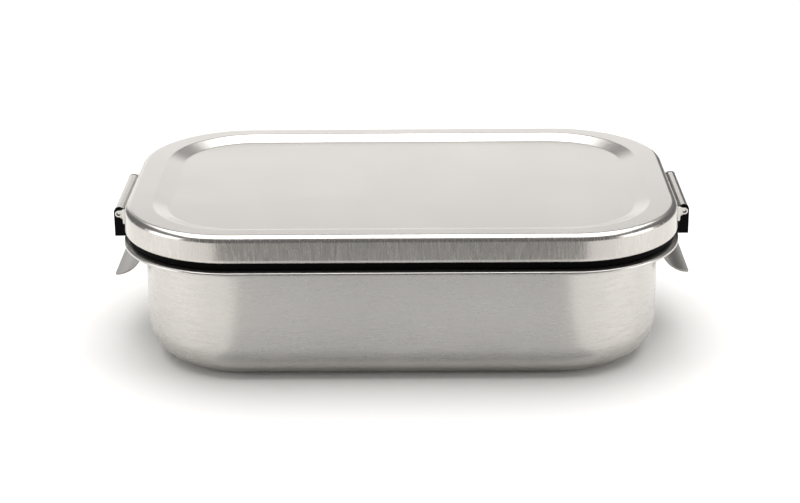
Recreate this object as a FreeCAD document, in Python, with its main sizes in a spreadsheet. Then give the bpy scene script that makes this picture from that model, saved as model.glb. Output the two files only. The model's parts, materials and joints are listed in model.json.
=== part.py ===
"""Stainless-steel lunch box: a deep-drawn tub, a pressed lid with a silicone seal, and a clip latch on each end.

Millimetres. The origin is the middle of the base, +Z up, X along the long side, and the latches are on the
two short ends. Every latch piece is drawn for the +X end; the -X end is the same piece turned half a turn.
"""

import FreeCAD, Part
import math
import os
import Sketcher

os.makedirs("parts", exist_ok=True)
doc = FreeCAD.newDocument("lunch_box")

SIZES = {
    # lid: outline, heights above the base, and the sunk panel in its top
    "lid_length": 206.0,
    "lid_width": 132.4,
    "lid_corner": 41.5,
    "lid_top": 59.2,
    "lid_foot": 49.0,
    "lid_edge_round": 2.6,
    "lid_sheet": 0.6,
    "rim_end": 10.7,
    "rim_side": 8.4,
    "panel_corner": 33.0,
    "panel_slope": 5.6,
    "panel_depth": 2.0,
    "panel_soft": 5.0,
    # tub: drawn bowl with a flange whose outer edge is turned down
    "tub_length": 192.2,
    "tub_width": 119.6,
    "tub_corner": 38.0,
    "tub_sheet": 0.7,
    "base_round": 13.0,
    "flange_top": 46.2,
    "flange_foot": 44.4,
    "flange_round": 0.6,
    "mouth_round": 1.4,
    "turned_edge": 0.75,
    "root_web": 2.4,
    # seal: a flat ring in the lid's skirt with a lip that reaches down inside the mouth
    "seal_inset": 0.65,
    "seal_reach": 9.0,
    "seal_top": 51.4,
    "lip_gap": 0.35,
    "lip_foot": 43.6,
    # hinge: a strap welded to the lid's end wall, a lug at each end of it, and a pin through both lugs
    "pin_out": 3.1,
    "pin_level": 52.7,
    "pin_radius": 0.75,
    "pin_half": 21.5,
    "press_gap": 0.01,
    "strap_sheet": 0.6,
    "strap_foot": 50.9,
    "strap_top": 54.2,
    "lug_gap": 0.25,
    "lug_sheet": 1.6,
    "lug_foot": 48.8,
    "lug_neck": 50.6,
    "lug_leg": 1.5,
    "eye_radius": 1.5,
    # clip plate and its moulded liner
    "bore_gap": 0.05,
    "plate_sheet": 0.7,
    "roll_radius": 1.65,
    "bend_radius": 0.9,
    "plate_half": 19.4,
    "hook_level": 43.7,
    "hook_reach": 2.5,
    "tab_centre": 38.0,
    "tab_radius": 10.5,
    "tab_round": 1.0,
    "cheek_sheet": 0.8,
    "liner_gap": 0.03,
}

sheet = doc.addObject("Spreadsheet::Sheet", "sizes")
for row, (alias, number) in enumerate(SIZES.items(), start=1):
    sheet.set(f"A{row}", alias)
    sheet.set(f"B{row}", str(number))
    sheet.setAlias(f"B{row}", alias)
doc.recompute()


def bind(expression):
    """Put the sheet's name before each alias, so that FreeCAD can read the expression."""
    words = expression.replace("(", "( ").replace(")", " )").split()
    return " ".join(f"sizes.{word}" if word in SIZES else word for word in words)


def value_of(expression):
    """The number that an expression of the sheet's aliases gives."""
    return float(sheet.evalExpression(bind(expression)))


PIN_X = "lid_length / 2 + pin_out"

# ---------------------------------------------------------------- sketches


def new_body(label):
    body = doc.addObject("PartDesign::Body", label)
    body.Label = label
    return body


def sketch_on(body, name, role, offset="0 * lid_top"):
    """A sketch on one of the body's own origin planes, moved along the plane's normal."""
    sketch = body.newObject("Sketcher::SketchObject", name)
    plane = next(item for item in body.Origin.OriginFeatures if item.Role == role)
    sketch.AttachmentSupport = [(plane, "")]
    sketch.MapMode = "FlatFace"
    sketch.setExpression("AttachmentOffset.Base.z", bind(offset))
    return sketch


def fix(sketch, kind, where, expression):
    """Add one dimension to a sketch and bind it to the sheet."""
    index = sketch.addConstraint(Sketcher.Constraint(kind, *where, value_of(expression)))
    sketch.setExpression(f"Constraints[{index}]", bind(expression))


def relate(sketch, kind, *where):
    sketch.addConstraint(Sketcher.Constraint(kind, *where))


def line(x1, y1, x2, y2):
    return Part.LineSegment(FreeCAD.Vector(x1, y1, 0), FreeCAD.Vector(x2, y2, 0))


def arc(x, y, radius, start, end):
    """An arc counter-clockwise between two angles in degrees."""
    circle = Part.Circle(FreeCAD.Vector(x, y, 0), FreeCAD.Vector(0, 0, 1), radius)
    return Part.ArcOfCircle(circle, math.radians(start), math.radians(end))


def rounded_outline(sketch, length, width, corner):
    """A rounded rectangle centred on the origin: side, corner, side, corner, and so on."""
    half_x = value_of(length) / 2
    half_y = value_of(width) / 2
    radius = value_of(corner)
    side_x = half_x - radius
    side_y = half_y - radius
    first = sketch.GeometryCount
    sketch.addGeometry([
        line(half_x, -side_y, half_x, side_y),
        arc(side_x, side_y, radius, 0, 90),
        line(side_x, half_y, -side_x, half_y),
        arc(-side_x, side_y, radius, 90, 180),
        line(-half_x, side_y, -half_x, -side_y),
        arc(-side_x, -side_y, radius, 180, 270),
        line(-side_x, -half_y, side_x, -half_y),
        arc(side_x, -side_y, radius, 270, 360),
    ], False)
    for step in range(8):
        relate(sketch, "Tangent", first + step, 2, first + (step + 1) % 8, 1)
    for side in (0, 4):
        relate(sketch, "Vertical", first + side)
    for side in (2, 6):
        relate(sketch, "Horizontal", first + side)
    for turn in (3, 5, 7):
        relate(sketch, "Equal", first + 1, first + turn)
    relate(sketch, "Symmetric", first + 1, 3, first + 5, 3, -1, 1)
    fix(sketch, "Radius", (first + 1,), corner)
    fix(sketch, "DistanceX", (first, 1), f"( {length} ) / 2")
    fix(sketch, "DistanceY", (first + 2, 1), f"( {width} ) / 2")


def upright_slot(sketch, radius, foot, hole):
    """A round head about the hinge pin on straight sides, cut off level, with the pin's bore in it."""
    pin_x = value_of(PIN_X)
    pin_z = value_of("pin_level")
    reach = value_of(radius)
    low = value_of(foot)
    sketch.addGeometry([
        arc(pin_x, pin_z, reach, 0, 180),
        line(pin_x - reach, pin_z, pin_x - reach, low),
        line(pin_x - reach, low, pin_x + reach, low),
        line(pin_x + reach, low, pin_x + reach, pin_z),
    ], False)
    relate(sketch, "Tangent", 0, 2, 1, 1)
    relate(sketch, "Coincident", 1, 2, 2, 1)
    relate(sketch, "Coincident", 2, 2, 3, 1)
    relate(sketch, "Tangent", 3, 2, 0, 1)
    relate(sketch, "Vertical", 1)
    relate(sketch, "Vertical", 3)
    relate(sketch, "Horizontal", 2)
    fix(sketch, "DistanceX", (0, 3), PIN_X)
    fix(sketch, "DistanceY", (0, 3), "pin_level")
    fix(sketch, "Radius", (0,), radius)
    fix(sketch, "DistanceY", (2, 1), foot)
    if hole:
        round_hole(sketch, 4, hole)


def round_hole(sketch, index, radius):
    """A circle about the hinge pin."""
    centre = FreeCAD.Vector(value_of(PIN_X), value_of("pin_level"), 0)
    sketch.addGeometry(Part.Circle(centre, FreeCAD.Vector(0, 0, 1), value_of(radius)), False)
    fix(sketch, "DistanceX", (index, 3), PIN_X)
    fix(sketch, "DistanceY", (index, 3), "pin_level")
    fix(sketch, "Radius", (index,), radius)


def rectangle(sketch, first, left, low, right, high):
    """A rectangle by its four sides' positions."""
    x1 = value_of(left)
    y1 = value_of(low)
    x2 = value_of(right)
    y2 = value_of(high)
    sketch.addGeometry([
        line(x1, y1, x2, y1),
        line(x2, y1, x2, y2),
        line(x2, y2, x1, y2),
        line(x1, y2, x1, y1),
    ], False)
    for step in range(4):
        relate(sketch, "Coincident", first + step, 2, first + (step + 1) % 4, 1)
    for step in (0, 2):
        relate(sketch, "Horizontal", first + step)
    for step in (1, 3):
        relate(sketch, "Vertical", first + step)
    fix(sketch, "DistanceX", (first, 1), left)
    fix(sketch, "DistanceY", (first, 1), low)
    fix(sketch, "DistanceX", (first + 2, 1), right)
    fix(sketch, "DistanceY", (first + 2, 1), high)


# ---------------------------------------------------------------- features


def pad(body, sketch, length, both_ways=False):
    feature = body.newObject("PartDesign::Pad", f"{body.Label}_pad")
    feature.Profile = sketch
    feature.SideType = "Symmetric" if both_ways else "One side"
    feature.setExpression("Length", bind(length))
    doc.recompute()
    return feature


def pocket(body, sketch, length, both_ways=False, upward=False):
    """Cut a sketch out of the body, and check that it took something away."""
    before = body.Shape.Volume
    feature = body.newObject("PartDesign::Pocket", f"{body.Label}_pocket")
    feature.Profile = sketch
    feature.SideType = "Symmetric" if both_ways else "One side"
    feature.Reversed = upward
    feature.setExpression("Length", bind(length))
    doc.recompute()
    if not body.Shape.Volume < before:
        raise RuntimeError(f"{feature.Label} cut nothing")
    return feature


def edges_at(shape, height, inside=None):
    """Names of the level edges at a height, all of them or only those of one outline."""
    names = []
    for index, edge in enumerate(shape.Edges, start=1):
        box = edge.BoundBox
        if abs(box.ZMin - height) < 0.01 and abs(box.ZMax - height) < 0.01:
            reach = max(abs(box.XMin), abs(box.XMax))
            if inside is None or inside[0] < reach < inside[1]:
                names.append(f"Edge{index}")
    return names


def round_edges(body, base, names, radius):
    feature = body.newObject("PartDesign::Fillet", f"{body.Label}_round")
    feature.Base = (base, names)
    feature.setExpression("Radius", bind(radius))
    doc.recompute()
    return feature


def cut(label, base, tool):
    """One solid less another, as a document object of its own."""
    result = doc.addObject("Part::Cut", label)
    result.Label = label
    result.Base = base
    result.Tool = tool
    doc.recompute()
    return result


# ---------------------------------------------------------------- tub


def bowl(label, shrink, low, high):
    """A rounded block with a rounded foot: the tub's outside, or the space inside its sheet."""
    body = new_body(label)
    outline = sketch_on(body, f"{label}_outline", "XY_Plane", low)
    rounded_outline(outline, f"tub_length - 2 * {shrink}", f"tub_width - 2 * {shrink}", f"tub_corner - {shrink}")
    block = pad(body, outline, f"{high} - {low}")
    round_edges(body, block, edges_at(body.Shape, value_of(low)), f"base_round - {shrink}")
    return body


def make_tub():
    """Drawn bowl, flange and turned-down edge in one sheet."""
    outside = bowl("tub_outside", "0 * tub_sheet", "0 * tub_sheet", "flange_top")
    rim = sketch_on(outside, "flange_outline", "XY_Plane", "flange_foot")
    rounded_outline(rim, "lid_length", "lid_width", "lid_corner")
    pad(outside, rim, "flange_top - flange_foot")
    hollow = sketch_on(outside, "flange_hollow", "XY_Plane", "flange_foot")
    rounded_outline(hollow, "lid_length - 2 * turned_edge", "lid_width - 2 * turned_edge", "lid_corner - turned_edge")
    rounded_outline(hollow, "tub_length + root_web", "tub_width + root_web", "tub_corner + root_web / 2")
    under = pocket(outside, hollow, "flange_top - flange_foot - tub_sheet", upward=True)
    outer = edges_at(outside.Shape, value_of("flange_top"))
    round_edges(outside, under, outer, "flange_round")
    inside = bowl("tub_inside", "tub_sheet", "tub_sheet", "lid_top")
    tub = cut("tub_blank", outside, inside)
    mouth = doc.addObject("Part::Fillet", "tub")
    mouth.Label = "tub"
    mouth.Base = tub
    reach = value_of("tub_length / 2 - tub_sheet")
    names = edges_at(tub.Shape, value_of("flange_top"), (0, reach + 0.1))
    radius = value_of("mouth_round")
    mouth.Edges = [(int(name[4:]), radius, radius) for name in names]
    return mouth


# ---------------------------------------------------------------- lid


def pressed_form(label, shrink, foot):
    """The lid's outside, or the space under its sheet: a block with a rounded top edge and a sunk panel."""
    body = new_body(label)
    outline = sketch_on(body, f"{label}_outline", "XY_Plane", foot)
    rounded_outline(outline, f"lid_length - 2 * {shrink}", f"lid_width - 2 * {shrink}", f"lid_corner - {shrink}")
    block = pad(body, outline, f"lid_top - {shrink} - {foot}")
    top = f"lid_top - {shrink}"
    rounded = round_edges(body, block, edges_at(body.Shape, value_of(top)), f"lid_edge_round - {shrink}")
    mouth = sketch_on(body, f"{label}_panel_top", "XY_Plane", top)
    rounded_outline(mouth, "lid_length - 2 * rim_end", "lid_width - 2 * rim_side", "panel_corner")
    floor = sketch_on(body, f"{label}_panel_floor", "XY_Plane", f"{top} - panel_depth")
    rounded_outline(floor, "lid_length - 2 * ( rim_end + panel_slope )",
                    "lid_width - 2 * ( rim_side + panel_slope )", "panel_corner - panel_slope")
    before = body.Shape.Volume
    sunk = body.newObject("PartDesign::SubtractiveLoft", f"{label}_panel")
    sunk.Profile = mouth
    sunk.Sections = [floor]
    sunk.Ruled = True
    doc.recompute()
    if not body.Shape.Volume < before:
        raise RuntimeError("the panel's loft cut nothing")
    reach = value_of("lid_length / 2 - rim_end")
    upper = edges_at(body.Shape, value_of(top), (0, reach + 0.1))
    lower = edges_at(body.Shape, value_of(f"{top} - panel_depth"))
    round_edges(body, sunk, upper + lower, "panel_soft")
    return body


def make_lid():
    outside = pressed_form("lid_outside", "0 * lid_sheet", "lid_foot")
    inside = pressed_form("lid_inside", "lid_sheet", "lip_foot")
    return cut("lid_shell", outside, inside)


def make_seal():
    """A silicone ring that fills the skirt's foot and lies on the flange, with a lip inside the mouth."""
    body = new_body("lid_seal")
    ring = sketch_on(body, "seal_ring", "XY_Plane", "flange_top")
    rounded_outline(ring, "lid_length - 2 * seal_inset", "lid_width - 2 * seal_inset", "lid_corner - seal_inset")
    bore = ("lid_length - 2 * seal_reach", "lid_width - 2 * seal_reach", "tub_corner - tub_sheet - lip_gap")
    rounded_outline(ring, *bore)
    pad(body, ring, "seal_top - flange_top")
    lip = sketch_on(body, "seal_lip", "XY_Plane", "lip_foot")
    rounded_outline(lip, "tub_length - 2 * ( tub_sheet + lip_gap )",
                    "tub_width - 2 * ( tub_sheet + lip_gap )", "tub_corner - tub_sheet - lip_gap")
    rounded_outline(lip, *bore)
    pad(body, lip, "flange_top - lip_foot")
    return body


# ---------------------------------------------------------------- latches


def make_bracket(label):
    """A strap on the lid's end wall; its ends stand out as lugs with an eye for the pin."""
    body = new_body(label)
    wall = "lid_length / 2"
    leg_in = f"{wall} + strap_sheet / 2"
    leg_out = f"{wall} + lug_leg"
    pin_x = value_of(PIN_X)
    pin_z = value_of("pin_level")
    eye = value_of("eye_radius")
    low = value_of("lug_foot")
    neck = value_of("lug_neck")
    inner = value_of(leg_in)
    outer = value_of(leg_out)
    lug = sketch_on(body, f"{label}_lug", "XZ_Plane")
    lug.addGeometry([
        line(inner, low, outer, low),
        line(outer, low, outer, neck),
        line(outer, neck, pin_x, pin_z - eye),
        arc(pin_x, pin_z, eye, 290, 450),
        line(pin_x, pin_z + eye, inner, pin_z + eye),
        line(inner, pin_z + eye, inner, low),
    ], False)
    relate(lug, "Coincident", 0, 2, 1, 1)
    relate(lug, "Coincident", 1, 2, 2, 1)
    relate(lug, "Tangent", 2, 2, 3, 1)
    relate(lug, "Tangent", 3, 2, 4, 1)
    relate(lug, "Coincident", 4, 2, 5, 1)
    relate(lug, "Coincident", 5, 2, 0, 1)
    relate(lug, "Horizontal", 0)
    relate(lug, "Vertical", 1)
    relate(lug, "Horizontal", 4)
    relate(lug, "Vertical", 5)
    fix(lug, "DistanceX", (3, 3), PIN_X)
    fix(lug, "DistanceY", (3, 3), "pin_level")
    fix(lug, "Radius", (3,), "eye_radius")
    fix(lug, "DistanceX", (0, 1), leg_in)
    fix(lug, "DistanceY", (0, 1), "lug_foot")
    fix(lug, "DistanceX", (1, 1), leg_out)
    fix(lug, "DistanceY", (1, 2), "lug_neck")
    round_hole(lug, 6, "pin_radius + press_gap")
    lug_inner = "plate_half + cheek_sheet + lug_gap"
    pad(body, lug, f"2 * ( {lug_inner} + lug_sheet )", both_ways=True)
    window = sketch_on(body, f"{label}_window", "XZ_Plane")
    rectangle(window, 0, wall, "lip_foot", f"{PIN_X} + roll_radius * 2", "lid_top")
    pocket(body, window, f"2 * ( {lug_inner} )", both_ways=True)
    strap = sketch_on(body, f"{label}_strap", "XZ_Plane")
    rectangle(strap, 0, wall, "strap_foot", f"{wall} + strap_sheet", "strap_top")
    pad(body, strap, f"2 * ( {lug_inner} + lug_sheet )", both_ways=True)
    return body


def make_pin(label):
    body = new_body(label)
    end = sketch_on(body, f"{label}_end", "XZ_Plane")
    round_hole(end, 0, "pin_radius")
    pad(body, end, "2 * pin_half", both_ways=True)
    return body


def make_plate(label):
    """One strip of sheet bent over the pin, down, in under the flange, down again and out as a finger tab."""
    body = new_body(label)
    pin_x = value_of(PIN_X)
    pin_z = value_of("pin_level")
    roll = value_of("roll_radius")
    bend = value_of("bend_radius")
    hook = value_of("hook_level")
    drop_x_at = "tub_length / 2 + hook_reach"
    drop_x = value_of(drop_x_at)
    tab_z = value_of("tab_centre")
    tab = value_of("tab_radius")
    path = sketch_on(body, f"{label}_path", "XZ_Plane")
    path.addGeometry([
        arc(pin_x, pin_z, roll, 0, 180),
        line(pin_x + roll, pin_z, pin_x + roll, hook + bend),
        arc(pin_x + roll - bend, hook + bend, bend, 270, 360),
        line(pin_x + roll - bend, hook, drop_x + bend, hook),
        arc(drop_x + bend, hook - bend, bend, 90, 180),
        line(drop_x, hook - bend, drop_x, tab_z),
        arc(drop_x + tab, tab_z, tab, 180, 270),
    ], False)
    relate(path, "Tangent", 0, 1, 1, 1)
    relate(path, "Tangent", 1, 2, 2, 2)
    relate(path, "Tangent", 2, 1, 3, 1)
    relate(path, "Tangent", 3, 2, 4, 1)
    relate(path, "Tangent", 4, 2, 5, 1)
    relate(path, "Tangent", 5, 2, 6, 1)
    relate(path, "Vertical", 1)
    relate(path, "Horizontal", 3)
    relate(path, "Vertical", 5)
    fix(path, "DistanceX", (0, 3), PIN_X)
    fix(path, "DistanceY", (0, 3), "pin_level")
    fix(path, "Radius", (0,), "roll_radius")
    fix(path, "DistanceY", (0, 2), "pin_level")
    fix(path, "Radius", (2,), "bend_radius")
    fix(path, "Radius", (4,), "bend_radius")
    fix(path, "DistanceY", (3, 1), "hook_level")
    fix(path, "DistanceX", (5, 1), drop_x_at)
    fix(path, "DistanceY", (5, 2), "tab_centre")
    fix(path, "Radius", (6,), "tab_radius")
    fix(path, "DistanceX", (6, 2), f"{drop_x_at} + tab_radius")
    section = sketch_on(body, f"{label}_section", "XY_Plane", "pin_level")
    rectangle(section, 0, f"{PIN_X} - roll_radius - plate_sheet / 2", "0 * plate_half - plate_half",
              f"{PIN_X} - roll_radius + plate_sheet / 2", "plate_half")
    doc.recompute()
    bent = body.newObject("PartDesign::AdditivePipe", f"{label}_bent")
    bent.Profile = section
    bent.Spine = path
    doc.recompute()
    tip_x = drop_x + tab
    corners = []
    for index, edge in enumerate(body.Shape.Edges, start=1):
        box = edge.BoundBox
        upright = box.ZLength > 0.5 * value_of("plate_sheet") and box.XLength < 0.01 and box.YLength < 0.01
        if upright and abs(box.XMin - tip_x) < 0.05:
            corners.append(f"Edge{index}")
    round_edges(body, bent, corners, "tab_round")
    return body


def make_liner(label):
    """A moulded block that fills the clip plate about the pin, with a cheek over the plate's edge at each end."""
    body = new_body(label)
    cheek = sketch_on(body, f"{label}_cheek", "XZ_Plane")
    upright_slot(cheek, "roll_radius + plate_sheet / 2", "hook_level - plate_sheet / 2", "pin_radius + bore_gap")
    pad(body, cheek, "2 * ( plate_half + cheek_sheet )", both_ways=True)
    waist = sketch_on(body, f"{label}_waist", "XZ_Plane")
    upright_slot(waist, "roll_radius - plate_sheet / 2 - liner_gap", "hook_level + plate_sheet / 2 + liner_gap", None)
    rectangle(waist, 4, f"{PIN_X} - 2 * roll_radius", "tab_centre", f"{PIN_X} + 2 * roll_radius", "lid_top")
    pocket(body, waist, "2 * plate_half", both_ways=True)
    outer_x = value_of(f"{PIN_X} + roll_radius - plate_sheet / 2 - liner_gap")
    foot_z = value_of("hook_level + plate_sheet / 2 + liner_gap")
    corners = []
    for index, edge in enumerate(body.Shape.Edges, start=1):
        box = edge.BoundBox
        along = box.YLength > value_of("plate_half")
        if along and abs(box.XMin - outer_x) < 0.01 and abs(box.ZMin - foot_z) < 0.01:
            corners.append(f"Edge{index}")
    round_edges(body, body.Tip, corners, "bend_radius - plate_sheet / 2 + liner_gap")
    return body


PIECES = [make_tub(), make_lid(), make_seal()]
MAKERS = {
    "hinge_bracket": make_bracket,
    "hinge_pin": make_pin,
    "latch_plate": make_plate,
    "latch_liner": make_liner,
}
for side, turn in (("right", 0), ("left", 180)):
    for kind, maker in MAKERS.items():
        piece = maker(f"{side}_{kind}")
        piece.Placement = FreeCAD.Placement(FreeCAD.Vector(0, 0, 0), FreeCAD.Rotation(FreeCAD.Vector(0, 0, 1), turn))
        PIECES.append(piece)
doc.recompute()

# ---------------------------------------------------------------- checks and files

for item in doc.Objects:
    if "Invalid" in item.State or "Error" in item.State:
        raise RuntimeError(f"{item.Label} failed: {item.State}")
for piece in PIECES:
    if piece.Shape.isNull() or not piece.Shape.isValid():
        raise RuntimeError(f"{piece.Label} has no valid shape")
    piece.Shape.exportStep(f"parts/{piece.Label}.step")
    box = piece.Shape.BoundBox
    print(f"{piece.Label}: {piece.Shape.Volume / 1000:.2f} cm3, {len(piece.Shape.Solids)} solid, "
          f"X {box.XMin:.1f} to {box.XMax:.1f}, Z {box.ZMin:.1f} to {box.ZMax:.1f}")
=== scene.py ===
import json
import math

import bmesh
import bpy
from mathutils import Matrix, Quaternion, Vector


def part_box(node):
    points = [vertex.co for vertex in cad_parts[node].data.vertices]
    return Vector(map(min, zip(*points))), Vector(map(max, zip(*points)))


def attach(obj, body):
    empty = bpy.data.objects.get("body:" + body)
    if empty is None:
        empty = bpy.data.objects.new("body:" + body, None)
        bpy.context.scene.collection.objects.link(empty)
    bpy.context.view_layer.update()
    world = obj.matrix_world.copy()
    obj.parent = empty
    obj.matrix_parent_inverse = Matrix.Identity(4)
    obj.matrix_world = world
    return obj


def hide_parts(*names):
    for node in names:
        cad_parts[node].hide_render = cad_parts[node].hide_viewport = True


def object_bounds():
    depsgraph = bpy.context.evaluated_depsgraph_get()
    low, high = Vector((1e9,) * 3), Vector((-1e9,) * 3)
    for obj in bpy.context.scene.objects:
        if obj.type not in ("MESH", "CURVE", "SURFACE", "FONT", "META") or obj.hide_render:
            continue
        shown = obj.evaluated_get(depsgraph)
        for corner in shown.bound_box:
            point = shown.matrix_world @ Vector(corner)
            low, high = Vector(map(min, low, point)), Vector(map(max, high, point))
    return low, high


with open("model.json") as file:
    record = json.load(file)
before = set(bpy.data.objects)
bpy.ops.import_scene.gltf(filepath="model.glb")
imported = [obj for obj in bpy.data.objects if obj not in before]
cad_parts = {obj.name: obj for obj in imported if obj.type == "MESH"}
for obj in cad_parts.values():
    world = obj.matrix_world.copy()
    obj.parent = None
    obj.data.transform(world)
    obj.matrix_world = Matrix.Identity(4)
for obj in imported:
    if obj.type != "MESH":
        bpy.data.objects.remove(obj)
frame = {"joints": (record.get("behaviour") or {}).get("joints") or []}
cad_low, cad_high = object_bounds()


# ---------------------------------------------------------------- tub
# The tub is one blank of 0.7 mm stainless steel, deep-drawn into a bowl with a large base radius. Its flange is
# trimmed just outside the lid's outline and the edge is turned down, so that no raw edge shows. The walls are
# brushed along the long side after drawing.

MM = 0.001


def outline(shape, length, width, corner, height, steps=20):
    """A level loop of edges: a rectangle with round corners about the middle of the box."""
    known = set(shape.faces)
    made = bmesh.ops.create_grid(shape, x_segments=1, y_segments=1, size=0.5)["verts"]
    bmesh.ops.scale(shape, vec=(length, width, 1), verts=made)
    bmesh.ops.translate(shape, vec=(0, 0, height), verts=made)
    bmesh.ops.bevel(shape, geom=made, offset=corner, segments=steps, profile=0.5, affect="VERTICES", material=-1)
    blank = next(face for face in shape.faces if face not in known)
    edges = list(blank.edges)
    bmesh.ops.delete(shape, geom=[blank], context="FACES_ONLY")
    return edges


def skin(outlines, closing):
    """A sheet through a row of outlines, closed by a flat floor or joined back to the first outline.
    They are bridged well apart and then moved to their heights, so that level ones bridge cleanly too."""
    apart = 10 * MM
    shape = bmesh.new()
    loops = [outline(shape, *each[:3], place * apart) for place, each in enumerate(outlines)]
    rings = [{vertex for edge in loop for vertex in edge.verts} for loop in loops]
    for near, far in zip(loops, loops[1:]):
        bmesh.ops.bridge_loops(shape, edges=near + far)
    if closing == "floor":
        bmesh.ops.edgeloop_fill(shape, edges=loops[-1])
    else:
        bmesh.ops.bridge_loops(shape, edges=loops[-1] + loops[0])
    for ring, each in zip(rings, outlines):
        for vertex in ring:
            vertex.co.z = each[3]
    return shape


def support(shape, x, y):
    """Cuts beside the corners, so that the flat sides shade flat."""
    for normal, reach in (((1, 0, 0), x), ((0, 1, 0), y)):
        for side in (-reach, reach):
            everything = list(shape.verts) + list(shape.edges) + list(shape.faces)
            bmesh.ops.bisect_plane(shape, geom=everything, plane_co=Vector(normal) * side, plane_no=normal)


def finish(shape, name):
    """Turn a bmesh into a smooth-shaded object at the origin, with its faces pointing out."""
    bmesh.ops.remove_doubles(shape, verts=shape.verts, dist=0.0001 * MM)
    bmesh.ops.recalc_face_normals(shape, faces=shape.faces)
    mesh = bpy.data.meshes.new(name)
    shape.to_mesh(mesh)
    shape.free()
    mesh.shade_smooth()
    piece = bpy.data.objects.new(name, mesh)
    bpy.context.scene.collection.objects.link(piece)
    return piece


def face_up(piece):
    """Turn an open skin over where its widest face looks down."""
    if max(piece.data.polygons, key=lambda face: face.area).normal.z < 0:
        piece.data.flip_normals()


def thicken(piece, thickness, side=-1):
    """Give a skin its sheet thickness: on the side away from its normals, or half on each side for a side of 0."""
    wall = piece.modifiers.new("sheet", "SOLIDIFY")
    wall.thickness = thickness
    wall.offset = side
    wall.use_even_offset = True
    wall.use_quality_normals = True


def ease(piece, width, segments=3, angle=35):
    """Take the sharpness off every edge, as a tumbled or moulded part has it."""
    edge = piece.modifiers.new("edge", "BEVEL")
    edge.width = width
    edge.segments = segments
    edge.limit_method = "ANGLE"
    edge.angle_limit = math.radians(angle)
    edge.harden_normals = True
    return piece


def turn(centre_in, centre_up, radius, start, end, steps):
    """Points of a round bend in a sheet's section: distance in from the outline, and height."""
    points = []
    for step in range(steps + 1):
        angle = math.radians(start + (end - start) * step / steps)
        points.append((centre_in - radius * math.cos(angle), centre_up + radius * math.sin(angle)))
    return points


tub_low, tub_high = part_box("tub")
tub_sheet = 0.7 * MM
wall_in = 6.4 * MM
wall_end_in = 6.9 * MM
wall_corner = 38.0 * MM
flange_corner = 41.5 * MM
flange_out = 0.5 * MM
flange_droop = 0.4 * MM
flange_foot = tub_high.z - 1.8 * MM
edge_round = 0.8 * MM
mouth_round = 1.4 * MM
base_round = 13.0 * MM - tub_sheet
edge_straight = 0.3 * MM
flange_flat_in = 2.2 * MM
bend_hold = 0.6 * MM
flat_hold = 1.5 * MM
side_hold = 2 * MM
flange_length = tub_high.x - tub_low.x
flange_width = tub_high.y - tub_low.y

inner_in = wall_in + tub_sheet
floor_up = tub_low.z + tub_sheet
edge_up = tub_high.z - flange_droop
rim_points = [(-flange_out, flange_foot), (-flange_out, flange_foot + edge_straight)]
rim_points += turn(edge_round - flange_out, edge_up - edge_round, edge_round, 0, 80, 6)
rim_points += [(flange_flat_in, tub_high.z), (inner_in - mouth_round - bend_hold, tub_high.z)]
bowl_points = turn(inner_in - mouth_round, tub_high.z - mouth_round, -mouth_round, -90, 0, 6)
bowl_points += [(inner_in, tub_high.z - 3 * MM), (inner_in, floor_up + base_round + flat_hold)]
bowl_points += turn(inner_in + base_round, floor_up + base_round, base_round, 0, -90, 16)
bowl_points += [(inner_in + base_round + flat_hold, floor_up)]
tub_outlines = [
    (flange_length - 2 * inset, flange_width - 2 * inset, flange_corner - inset, height)
    for inset, height in rim_points
]
tub_outlines += [
    (flange_length - 2 * (inset + wall_end_in - wall_in), flange_width - 2 * inset,
     wall_corner + wall_in - inset, height)
    for inset, height in bowl_points
]
tub_shape = skin(tub_outlines, "floor")
support(tub_shape, flange_length / 2 - wall_end_in - wall_corner - side_hold,
        flange_width / 2 - wall_in - wall_corner - side_hold)
tub = finish(tub_shape, "drawn_tub")
face_up(tub)
thicken(tub, tub_sheet)
ease(tub, 0.15 * MM)


def linear(colour):
    """An sRGB hex colour as the linear values that a shader takes."""
    channels = [int(colour[place:place + 2], 16) / 255 for place in (1, 3, 5)]
    return [c / 12.92 if c <= 0.04045 else ((c + 0.055) / 1.055) ** 2.4 for c in channels] + [1]


def put(tree, kind, links=None, **settings):
    """Add a node with its settings, and values or other nodes' outputs on its sockets."""
    made = tree.nodes.new(kind)
    for name, value in settings.items():
        setattr(made, name, value)
    for socket, value in (links or {}).items():
        if isinstance(value, bpy.types.NodeSocket):
            tree.links.new(value, made.inputs[socket])
        else:
            made.inputs[socket].default_value = value
    return made


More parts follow.
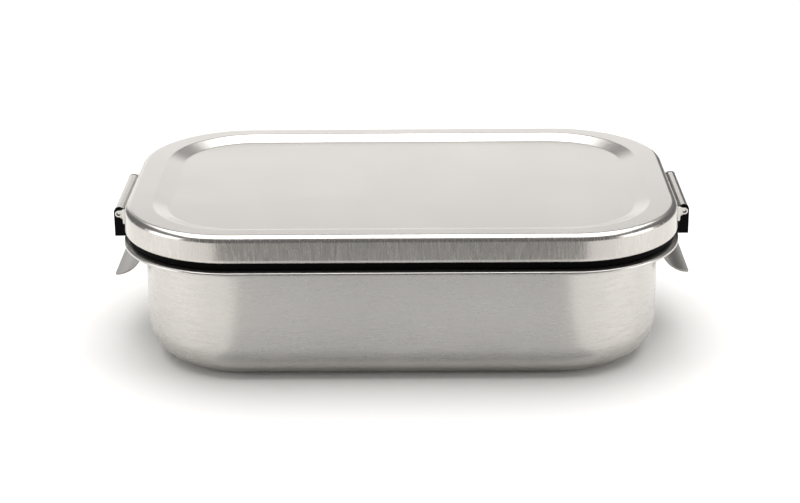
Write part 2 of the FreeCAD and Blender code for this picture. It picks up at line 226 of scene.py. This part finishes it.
def brushed_steel(name, colour, roughness, wall_grain, top_grain, wall_contrast, top_contrast, anisotropy=0.0,
                  painted_shade_below=None):
    """Stainless steel with a brushed satin grain. The belt leaves bundles of fine straight scratches: each grain
    is the size in mm of one bundle along X, Y and Z, and five octaves of noise split it into single scratches.
    Upright walls take wall_grain and level faces top_grain. Below painted_shade_below the colour is darkened as
    painted shade, and the surface is rougher."""
    material = bpy.data.materials.new(name)
    material.use_nodes = True
    tree = material.node_tree
    tree.nodes.clear()
    place = put(tree, "ShaderNodeTexCoord").outputs["Object"]
    grains = []
    for grain in (wall_grain, top_grain):
        stretch = [1000 / millimetres for millimetres in grain]
        at = put(tree, "ShaderNodeMapping", {"Vector": place, "Scale": stretch})
        noise = put(tree, "ShaderNodeTexNoise", {"Vector": at.outputs["Vector"], "Scale": 1.0, "Detail": 5.0,
                                                 "Roughness": 0.68})
        grains.append(noise.outputs["Fac"])
    normal = put(tree, "ShaderNodeNewGeometry").outputs["Normal"]
    facing = put(tree, "ShaderNodeSeparateXYZ", {0: normal})
    level = put(tree, "ShaderNodeMath", {0: facing.outputs["Z"]}, operation="ABSOLUTE")
    share = put(tree, "ShaderNodeMapRange", {"Value": level.outputs[0], "From Min": 0.45, "From Max": 0.8})
    grain = put(tree, "ShaderNodeMix", {0: share.outputs[0], 2: grains[0], 3: grains[1]}, data_type="FLOAT")
    contrast = put(tree, "ShaderNodeMapRange", {"Value": share.outputs[0], "To Min": wall_contrast,
                                                "To Max": top_contrast})
    centred = put(tree, "ShaderNodeMath", {0: grain.outputs[0], 1: 0.5}, operation="SUBTRACT")
    scratch = put(tree, "ShaderNodeMath", {0: centred.outputs[0], 1: contrast.outputs[0]}, operation="MULTIPLY")
    cloud = put(tree, "ShaderNodeTexNoise", {"Vector": place, "Scale": 28.0, "Detail": 2.0})
    shade = put(tree, "ShaderNodeMapRange", {"Value": cloud.outputs["Fac"], "From Min": 0.3, "From Max": 0.7,
                                             "To Min": 0.97, "To Max": 1.03})
    tone = put(tree, "ShaderNodeMath", {0: scratch.outputs[0], 1: 0.45, 2: shade.outputs[0]},
               operation="MULTIPLY_ADD")
    tint = put(tree, "ShaderNodeVectorMath", {0: linear(colour)[:3], "Scale": tone.outputs[0]}, operation="SCALE")
    rough = put(tree, "ShaderNodeMath", {0: scratch.outputs[0], 1: 0.3, 2: roughness}, operation="MULTIPLY_ADD")
    shown_tint, shown_rough = tint.outputs[0], rough.outputs[0]
    if painted_shade_below is not None:
        # Painted shade: below the given height the colour fades down to 0.62 over 1.5 mm, and the roughness rises
        # by 0.12.
        fade = 1.5 * MM
        painted_shade_level = 0.62
        shaded_part_rough = roughness + 0.12
        up = put(tree, "ShaderNodeSeparateXYZ", {0: place})
        painted_shade_mask = put(tree, "ShaderNodeMapRange", {"Value": up.outputs["Z"], "From Min": painted_shade_below + fade,
                                                  "From Max": painted_shade_below, "To Min": 1.0, "To Max": painted_shade_level})
        shown_tint = put(tree, "ShaderNodeVectorMath", {0: shown_tint, "Scale": painted_shade_mask.outputs[0]},
                         operation="SCALE").outputs[0]
        shown_rough = put(tree, "ShaderNodeMapRange", {"Value": painted_shade_mask.outputs[0], "From Min": painted_shade_level,
                                                       "To Min": shaded_part_rough, "To Max": shown_rough}).outputs[0]
    relief = put(tree, "ShaderNodeBump", {"Height": scratch.outputs[0], "Strength": 0.4, "Distance": 0.03 * MM})
    shader = put(tree, "ShaderNodeBsdfPrincipled", {"Base Color": shown_tint, "Metallic": 1.0,
                                                    "Roughness": shown_rough, "Normal": relief.outputs[0],
                                                    "Anisotropic": anisotropy, "Anisotropic Rotation": 0.25})
    put(tree, "ShaderNodeOutputMaterial", {"Surface": shader.outputs[0]})
    return material


# Satin 18/8 stainless, brushed level all the way round: highlights stand up and down in soft bands.
tub.data.materials.append(brushed_steel("satin_brushed_stainless_tub", "#C5C2BE", 0.29, (9, 9, 1.1),
                                        (40, 1.2, 40), 0.8, 0.32, anisotropy=0.4))
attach(tub, "tub")
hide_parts("tub")


# ---------------------------------------------------------------- seal
# A moulded ring of black silicone, pushed up into the lid's skirt. Its foot lies on the tub's flange and shows as
# a black band between the two, and its inner lip reaches down inside the tub's mouth.

seal_low, seal_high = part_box("lid_seal")
lid_low, lid_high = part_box("lid_shell")
lid_length = lid_high.x - lid_low.x
lid_width = lid_high.y - lid_low.y
lid_corner = 41.5 * MM
seal_bore_in = 9.0 * MM
lip_gap = 0.35 * MM
lip_out_in = inner_in + lip_gap
lip_corner = wall_corner - tub_sheet - lip_gap
band_in = 0.95 * MM
band_foot_in = 1.6 * MM
socket_in = 0.65 * MM
seal_chamfer = 0.3 * MM
seal_ring = [
    (band_foot_in + seal_chamfer, tub_high.z),
    (band_foot_in, tub_high.z + seal_chamfer),
    (band_in, tub_high.z + 1.3 * MM),
    (band_in, lid_low.z - 0.1 * MM),
    (socket_in, lid_low.z + 0.2 * MM),
    (socket_in, seal_high.z - seal_chamfer),
    (socket_in + seal_chamfer, seal_high.z),
]
seal_lip = [
    (seal_bore_in - seal_chamfer, seal_high.z),
    (seal_bore_in, seal_high.z - seal_chamfer),
    (seal_bore_in, seal_low.z + 0.4 * MM),
    (seal_bore_in - 0.4 * MM, seal_low.z),
    (lip_out_in + 0.3 * MM, seal_low.z + 0.1 * MM),
    (lip_out_in, seal_low.z + 0.6 * MM),
    (lip_out_in, tub_high.z - 0.6 * MM),
    (lip_out_in - 0.4 * MM, tub_high.z),
]
seal_outlines = [
    (lid_length - 2 * inset, lid_width - 2 * inset, lid_corner - inset, height)
    for inset, height in seal_ring
]
seal_outlines += [
    (lid_length - 2 * (inset + wall_end_in - wall_in), lid_width - 2 * inset,
     lip_corner + lip_out_in - inset, height)
    for inset, height in seal_lip
]
seal = ease(finish(skin(seal_outlines, "ring"), "silicone_seal"), 0.12 * MM, 2, 30)


def moulded(name, colour, roughness, grit, depth, gloss):
    """Moulded rubber or plastic: one colour, and the fine even grain of a spark-eroded mould, grit mm across."""
    material = bpy.data.materials.new(name)
    material.use_nodes = True
    tree = material.node_tree
    tree.nodes.clear()
    place = put(tree, "ShaderNodeTexCoord").outputs["Object"]
    grain = put(tree, "ShaderNodeTexNoise", {"Vector": place, "Scale": 1000 / grit, "Detail": 2.0})
    haze = put(tree, "ShaderNodeTexNoise", {"Vector": place, "Scale": 60.0, "Detail": 1.0})
    tone = put(tree, "ShaderNodeMapRange", {"Value": haze.outputs["Fac"], "To Min": 0.8, "To Max": 1.25})
    tint = put(tree, "ShaderNodeVectorMath", {0: linear(colour)[:3], "Scale": tone.outputs[0]}, operation="SCALE")
    rough = put(tree, "ShaderNodeMapRange", {"Value": grain.outputs["Fac"], "To Min": roughness - 0.08,
                                             "To Max": roughness + 0.08})
    relief = put(tree, "ShaderNodeBump", {"Height": grain.outputs["Fac"], "Strength": 0.4, "Distance": depth * MM})
    shader = put(tree, "ShaderNodeBsdfPrincipled", {"Base Color": tint.outputs[0], "Roughness": rough.outputs[0],
                                                    "Normal": relief.outputs[0], "Specular IOR Level": gloss})
    put(tree, "ShaderNodeOutputMaterial", {"Surface": shader.outputs[0]})
    return material


# Black food-grade silicone: deep black, dull, with a faint bloom of lighter haze.
seal.data.materials.append(moulded("black_food_silicone", "#050505", 0.6, 0.35, 0.01, 0.03))
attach(seal, "lid")
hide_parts("lid_seal")


# ---------------------------------------------------------------- lid
# The lid is pressed from 0.6 mm stainless steel: a skirt that leans in a little, a round top edge, a flat rim, and
# a step down to the sunk panel that stiffens it. The skirt's foot is curled in to hold the seal.

lid_sheet = 0.6 * MM
skirt_lean = 0.25 * MM
top_round = 2.6 * MM
foot_round = 1.1 * MM
rim_side = 8.4 * MM
rim_end = 10.7 * MM
step_run = 5.6 * MM
step_drop = 2.0 * MM
step_round = 2.2 * MM
step_slope = math.degrees(math.atan2(step_drop, step_run))
soft_run = step_round * math.tan(math.radians(step_slope / 2))

skirt_points = turn(foot_round, lid_low.z + foot_round, foot_round, -70, 0, 6)
skirt_points += [(0.05 * MM, lid_low.z + foot_round + 0.5 * MM)]
lean_angle = math.degrees(math.atan2(skirt_lean, lid_high.z - top_round - lid_low.z - foot_round))
skirt_points += turn(skirt_lean + top_round, lid_high.z - top_round, top_round, lean_angle, 90, 14)
skirt_points += [(skirt_lean + top_round + bend_hold, lid_high.z)]
step_points = [(rim_side - soft_run - 0.5 * MM, lid_high.z)]
step_points += turn(rim_side - soft_run, lid_high.z - step_round, step_round, 90, 90 + step_slope, 6)
floor_edge = rim_side + step_run + soft_run
panel_up = lid_high.z - step_drop
step_points += turn(floor_edge, panel_up + step_round, step_round, 270 + step_slope, 270, 6)
step_points += [(floor_edge + bend_hold, panel_up), (floor_edge + 4 * MM, panel_up)]
lid_outlines = [
    (lid_length - 2 * inset, lid_width - 2 * inset, lid_corner - inset, height)
    for inset, height in skirt_points
]
lid_outlines += [
    (lid_length - 2 * (inset + rim_end - rim_side), lid_width - 2 * inset, lid_corner - inset, height)
    for inset, height in step_points
]
lid_shape = skin(lid_outlines, "floor")
support(lid_shape, lid_length / 2 - lid_corner - rim_end + rim_side - side_hold,
        lid_width / 2 - lid_corner - side_hold)
lid = finish(lid_shape, "pressed_lid")
face_up(lid)
thicken(lid, lid_sheet)
ease(lid, 0.12 * MM, 2)
# Satin stainless again. The grain runs along the panel, and down the skirt, where the belt left it.
lid.data.materials.append(brushed_steel("satin_brushed_stainless_lid", "#C8C4BF", 0.25, (0.7, 0.7, 7),
                                        (50, 1.2, 50), 1.0, 0.25))
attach(lid, "lid")
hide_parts("lid_shell")


# ---------------------------------------------------------------- hinge brackets and pins
# Each bracket is a strap of bright stainless steel, spot-welded to the lid's end wall, with a lug and an eye at
# each end. The pin is drawn wire, cut a little short of the lugs' faces and held by its tight fit.

def section(shape, points, y):
    """A closed outline in an upright plane across the box, from X and Z pairs, as a face."""
    return shape.faces.new([shape.verts.new((x, y, z)) for x, z in points])


def round_points(x, z, radius, start, end, steps):
    """X and Z pairs along an arc, with its start and end in degrees from X towards Z."""
    return [
        (x + radius * math.cos(math.radians(start + (end - start) * step / steps)),
         z + radius * math.sin(math.radians(start + (end - start) * step / steps)))
        for step in range(steps + 1)
    ]


def bar(shape, points, y1, y2, hole=None):
    """A solid of one section between two places along Y, with a round hole through it where one is given."""
    start = section(shape, points, y1)
    if hole:
        edges = list(start.edges)
        bmesh.ops.delete(shape, geom=[start], context="FACES_ONLY")
        ring = [shape.verts.new((x, y1, z)) for x, z in round_points(*hole, 0, 360, 24)[:-1]]
        circle = [shape.edges.new((ring[place], ring[(place + 1) % len(ring)])) for place in range(len(ring))]
        faces = bmesh.ops.bridge_loops(shape, edges=edges + circle)["faces"]
    else:
        faces = [start]
    moved = bmesh.ops.extrude_face_region(shape, geom=faces, use_keep_orig=True)["geom"]
    ends = [item for item in moved if isinstance(item, bmesh.types.BMVert)]
    bmesh.ops.translate(shape, vec=(0, y2 - y1, 0), verts=ends)


def half_turn(shape):
    """Turn a piece drawn for the right-hand end to the left-hand end."""
    bmesh.ops.rotate(shape, cent=(0, 0, 0), matrix=Matrix.Rotation(math.pi, 3, "Z"), verts=shape.verts)


pin_at = Vector(next(joint["pos_m"] for joint in frame["joints"] if joint["name"] == "right_latch_swing"))
pin_low, pin_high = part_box("right_hinge_pin")
pin_radius = (pin_high.z - pin_low.z) / 2
bracket_low, bracket_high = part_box("right_hinge_bracket")
strap_sheet = 0.6 * MM
strap_foot = 50.9 * MM
strap_top = 53.2 * MM
lug_sheet = 1.6 * MM
lug_in = bracket_high.y - lug_sheet
pin_in_lug = 0.4 * lug_sheet
eye_radius = 1.3 * MM
lug_root = lid_high.x + 0.3 * MM
lug_neck = 50.3 * MM
leg_out = lid_high.x + 1.5 * MM


def make_bracket():
    """The strap and its two lugs, for the right-hand end."""
    shape = bmesh.new()
    wall = lid_high.x - skirt_lean
    strap = [(wall, strap_foot), (lid_high.x + strap_sheet, strap_foot), (lid_high.x + strap_sheet, strap_top),
             (wall, strap_top)]
    bar(shape, strap, -lug_in - lug_sheet, lug_in + lug_sheet)
    lug = [(lug_root, bracket_low.z), (leg_out, bracket_low.z), (leg_out, lug_neck)]
    lug += round_points(pin_at.x, pin_at.z, eye_radius, -110, 90, 18)
    lug += [(lug_root, pin_at.z + eye_radius)]
    for side in (-1, 1):
        bar(shape, lug, side * lug_in, side * (lug_in + lug_sheet), (pin_at.x, pin_at.z, pin_radius))
    return shape


def make_pin():
    """The hinge pin, for the right-hand end."""
    shape = bmesh.new()
    pin_end = lug_in + pin_in_lug
    bar(shape, round_points(pin_at.x, pin_at.z, pin_radius, 0, 360, 32)[:-1], -pin_end, pin_end)
    return shape


# Bright-drawn stainless: smoother than the brushed sheet, with fine drawing lines along the wire.
bright = brushed_steel("bright_drawn_stainless", "#CBC8C3", 0.17, (1, 14, 1), (1, 14, 1), 0.4, 0.4)
for side in ("right", "left"):
    for kind, maker in (("hinge_bracket", make_bracket), ("hinge_pin", make_pin)):
        shape = maker()
        if side == "left":
            half_turn(shape)
        piece = ease(finish(shape, f"{side}_{kind}_steel"), 0.12 * MM, 3)
        piece.data.materials.append(bright)
        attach(piece, "lid")
        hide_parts(f"{side}_{kind}")


# ---------------------------------------------------------------- clip plates
# Each clip is one strip of 0.7 mm spring stainless, 39 mm wide. It is rolled over the hinge pin and runs down past
# the lid's skirt. Then it bends in under the flange as a hook, drops beside the tub and curls out as a finger tab.

plate_low, plate_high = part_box("right_latch_plate")
plate_sheet = 0.7 * MM
roll_radius = 1.65 * MM
bend_radius = 0.9 * MM
hook_level = 43.7 * MM
drop_x = plate_low.x + plate_sheet / 2
tab_radius = 10.5 * MM
tab_centre = 38.0 * MM
tab_round = 1.0 * MM


def bend(shape, edge, x, z, angle, steps):
    """Bend the strip's end edge about a line along Y. A positive angle turns it from Z towards X."""
    made = bmesh.ops.spin(shape, geom=edge, cent=(x, 0, z), axis=(0, 1, 0), angle=math.radians(angle), steps=steps)
    return made["geom_last"]


def run_on(shape, edge, x, z):
    """Carry the strip's end edge on in a straight line."""
    last = [item for item in edge if isinstance(item, bmesh.types.BMEdge)]
    moved = bmesh.ops.extrude_edge_only(shape, edges=last)["geom"]
    ends = [item for item in moved if isinstance(item, bmesh.types.BMVert)]
    bmesh.ops.translate(shape, vec=(x, 0, z), verts=ends)
    return [item for item in moved if not isinstance(item, bmesh.types.BMFace)]


def make_plate():
    """The strip's middle surface, from the roll over the pin to the tab's tip, for the right-hand end."""
    shape = bmesh.new()
    half = plate_high.y
    start = [shape.verts.new((pin_at.x - roll_radius, y, pin_at.z)) for y in (-half, half)]
    edge = start + [shape.edges.new(start)]
    edge = bend(shape, edge, pin_at.x, pin_at.z, 180, 20)
    edge = run_on(shape, edge, 0, hook_level + bend_radius - pin_at.z)
    edge = bend(shape, edge, pin_at.x + roll_radius - bend_radius, hook_level + bend_radius, 90, 8)
    edge = run_on(shape, edge, drop_x + bend_radius - (pin_at.x + roll_radius - bend_radius), 0)
    edge = bend(shape, edge, drop_x + bend_radius, hook_level - bend_radius, -90, 8)
    edge = run_on(shape, edge, 0, tab_centre - hook_level + bend_radius)
    edge = bend(shape, edge, drop_x + tab_radius, tab_centre, -90, 24)
    tip = [item for item in edge if isinstance(item, bmesh.types.BMVert)]
    bmesh.ops.bevel(shape, geom=tip, offset=tab_round, segments=8, profile=0.5, affect="VERTICES", material=-1)
    return shape


# Half-hard spring stainless with a fine grain across the strip, a little darker than the drawn sheet.
# Below the hook the strip's colour is cut to 0.62 as painted shade on the finger tabs, and the roughness is raised
# there.
spring = brushed_steel("satin_spring_stainless", "#BDB9B4", 0.24, (12, 1.2, 12), (12, 1.2, 12), 0.6, 0.6,
                       painted_shade_below=hook_level)
for side in ("right", "left"):
    shape = make_plate()
    if side == "left":
        half_turn(shape)
    piece = finish(shape, f"{side}_clip_plate")
    thicken(piece, plate_sheet, side=0)
    ease(piece, 0.14 * MM, 3)
    piece.data.materials.append(spring)
    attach(piece, f"{side}_latch")
    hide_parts(f"{side}_latch_plate")


# ---------------------------------------------------------------- clip liners
# The liner is a near-black moulded block snapped into the clip. It carries the pin, and a cheek at each end
# covers the strip's raw edge. Its black is set to the black seen at the clip's ends, which may be deep shade.

liner_low, liner_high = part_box("right_latch_liner")
cheek_radius = (liner_high.x - liner_low.x) / 2
cheek_sheet = 0.8 * MM
liner_gap = 0.03 * MM
bore_gap = 0.05 * MM
waist_chamfer = 0.6 * MM
waist_radius = roll_radius - plate_sheet / 2 - liner_gap
waist_foot = hook_level + plate_sheet / 2 + liner_gap


def make_liner():
    """The block and its two cheeks, with the pin's bore through them, for the right-hand end."""
    shape = bmesh.new()
    bore = (pin_at.x, pin_at.z, pin_radius + bore_gap)
    waist_end = liner_high.y - cheek_sheet
    waist = round_points(pin_at.x, pin_at.z, waist_radius, 0, 180, 20)
    waist += [(pin_at.x - waist_radius, waist_foot), (pin_at.x + waist_radius - waist_chamfer, waist_foot)]
    waist += [(pin_at.x + waist_radius, waist_foot + waist_chamfer)]
    bar(shape, waist, -waist_end, waist_end, bore)
    cheek = round_points(pin_at.x, pin_at.z, cheek_radius, 0, 180, 24)
    cheek += [(pin_at.x - cheek_radius, liner_low.z), (pin_at.x + cheek_radius, liner_low.z)]
    for way in (-1, 1):
        bar(shape, cheek, way * waist_end, way * liner_high.y, bore)
    return shape


# Near-black, satin, with a fine spark-eroded grain: as dark as the clip's ends are seen, which may be deep shade.
liner_black = moulded("near_black_clip_liner", "#050505", 0.5, 0.3, 0.01, 0.06)
for side in ("right", "left"):
    shape = make_liner()
    if side == "left":
        half_turn(shape)
    piece = ease(finish(shape, f"{side}_clip_liner"), 0.15 * MM, 3)
    piece.data.materials.append(liner_black)
    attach(piece, f"{side}_latch")
    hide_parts(f"{side}_latch_liner")


# ---------------------------------------------------------------- studio
# A pale matt round table, one large softbox overhead, a lit white wall behind, and a panel at each side. Two grey
# cards show only in reflections: one stands in front for the skirt, and one lies in front for the tub's wall.

def flat_panel(name, length, width, place, turned=(0, 0, 0), corner=0):
    """A flat studio surface, with round corners where a radius is given."""
    shape = bmesh.new()
    bmesh.ops.create_grid(shape, x_segments=1, y_segments=1, size=0.5)
    bmesh.ops.scale(shape, vec=(length, width, 1), verts=shape.verts)
    if corner:
        bmesh.ops.bevel(shape, geom=shape.verts[:], offset=corner, segments=48, profile=0.5, affect="VERTICES",
                        material=-1)
    mesh = bpy.data.meshes.new(name)
    shape.to_mesh(mesh)
    shape.free()
    panel = bpy.data.objects.new(name, mesh)
    panel.location = place
    panel.rotation_euler = turned
    bpy.context.scene.collection.objects.link(panel)
    return panel


def matt(name, colour):
    """A plain matt paper or paint."""
    material = bpy.data.materials.new(name)
    material.use_nodes = True
    shader = material.node_tree.nodes["Principled BSDF"]
    shader.inputs["Base Color"].default_value = linear(colour)
    shader.inputs["Roughness"].default_value = 0.9
    return material


table = flat_panel("pale_table", 1.5, 1.5, (0, 0, cad_low.z), corner=0.74)
table.data.materials.append(matt("pale_table_paper", "#F4F3F1"))
card = flat_panel("grey_card", 0.23, 0.07, (0, -0.22, 0.035), (math.radians(90), 0, 0))
card.data.materials.append(matt("grey_card_paper", "#8E8E8E"))
floor_card = flat_panel("floor_card", 0.152, 0.16, (0.003, -0.142, cad_low.z + 0.5 * MM))
floor_card.data.materials.append(matt("floor_card_paper", "#CDCDCD"))
for reflected in (card, floor_card):
    reflected.visible_camera = False
    reflected.visible_shadow = False
    reflected.visible_diffuse = False


def softbox(name, watts, length, width, place, aim):
    """A rectangular area light that the camera doesn't see, turned towards a point."""
    lamp = bpy.data.lights.new(name, "AREA")
    lamp.shape = "RECTANGLE"
    lamp.size = length
    lamp.size_y = width
    lamp.energy = watts
    holder = bpy.data.objects.new(name, lamp)
    holder.location = place
    holder.rotation_euler = (Vector(aim) - Vector(place)).to_track_quat("-Z", "Y").to_euler()
    holder.visible_camera = False
    bpy.context.scene.collection.objects.link(holder)
    return holder


softbox("overhead_softbox", 15.2, 1.3, 1.2, (0, 0.2, 0.85), (0, 0.2, 0))
back_wall = softbox("back_wall_light", 1.25, 0.86, 0.42, (-0.15, 0.80, 0.22), (-0.15, 0, 0.22))
back_wall.visible_diffuse = False
softbox("left_panel", 1.5, 0.5, 0.35, (-0.75, -0.25, 0.18), (0, 0, 0.03))
softbox("right_panel", 1.5, 0.5, 0.35, (0.75, -0.25, 0.18), (0, 0, 0.03))

world = bpy.data.worlds.new("studio_air")
world.use_nodes = True
air = world.node_tree
air.nodes.clear()
seen = put(air, "ShaderNodeBackground", {"Color": linear("#F4F3F1"), "Strength": 1.0})
lit = put(air, "ShaderNodeBackground", {"Color": linear("#FFFFFF"), "Strength": 0.2})
path = put(air, "ShaderNodeLightPath")
choice = put(air, "ShaderNodeMixShader", {0: path.outputs["Is Camera Ray"], 1: lit.outputs[0], 2: seen.outputs[0]})
put(air, "ShaderNodeOutputWorld", {"Surface": choice.outputs[0]})
bpy.context.scene.world = world
bpy.context.scene.view_settings.view_transform = "Standard"

camera_data = bpy.data.cameras.new("camera")
camera_data.sensor_width = 36
camera_data.lens = 86.4
camera = bpy.data.objects.new("camera", camera_data)
pitch = math.radians(20.58)
yaw = math.radians(-0.585)
roll = math.radians(-0.502)
aim = Vector((math.sin(yaw) * math.cos(pitch), math.cos(yaw) * math.cos(pitch), -math.sin(pitch)))
camera.location = (6.4 * MM, -700.8 * MM, 292.0 * MM)
camera.rotation_euler = (aim.to_track_quat("-Z", "Y") @ Quaternion((0, 0, 1), roll)).to_euler()
bpy.context.scene.collection.objects.link(camera)
bpy.context.scene.camera = camera
